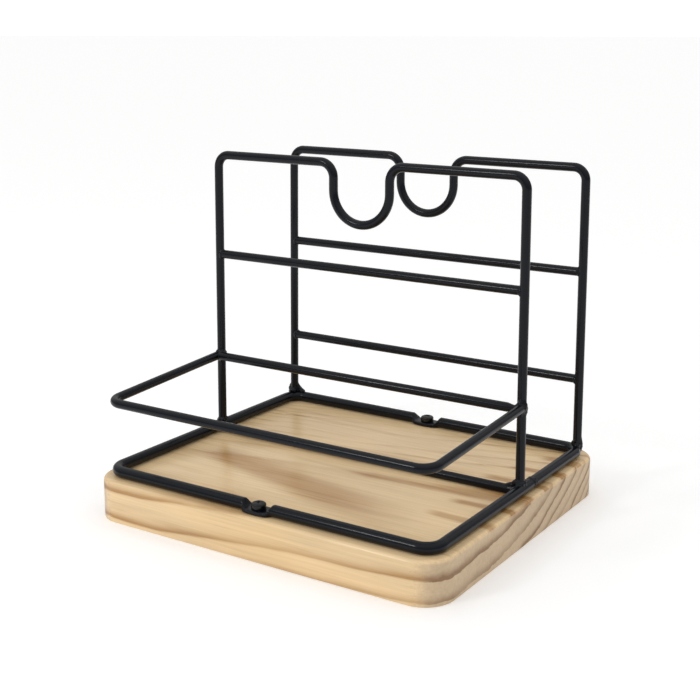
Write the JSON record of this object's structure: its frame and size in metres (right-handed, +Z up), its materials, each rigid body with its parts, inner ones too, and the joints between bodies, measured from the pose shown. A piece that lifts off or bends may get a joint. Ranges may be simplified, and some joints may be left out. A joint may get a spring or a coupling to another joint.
{
  "type": "wire caddy on a wooden base",
  "caption": "Black wire caddy for napkins, notes or letters: arches with finger dips and a forward rail on a rounded pine board.",
  "frame": {"origin": "middle of the board's underside, which is the middle of the bounding box's bottom", "axes": "+Z up; +X to the right along the arches; the rail reaches forward along -Y"},
  "size_m": [0.179, 0.159, 0.1596],
  "materials": {
    "pine": "clear satin lacquer over fine-sanded pine",
    "black_powder_coat": "satin black powder coat",
    "black_screw": "black oxide steel screw"
  },
  "bodies": {
    "root": {"base_board": "pine", "base_ring": "black_powder_coat", "ring_cross_wire": "black_powder_coat", "front_arch": "black_powder_coat", "rear_arch": "black_powder_coat", "front_arch_bar": "black_powder_coat", "rail_back_bar": "black_powder_coat", "rear_upper_bar": "black_powder_coat", "rear_lower_bar": "black_powder_coat", "rail": "black_powder_coat", "front_screw": "black_screw", "rear_screw": "black_screw"}
  },
  "joints": []
}
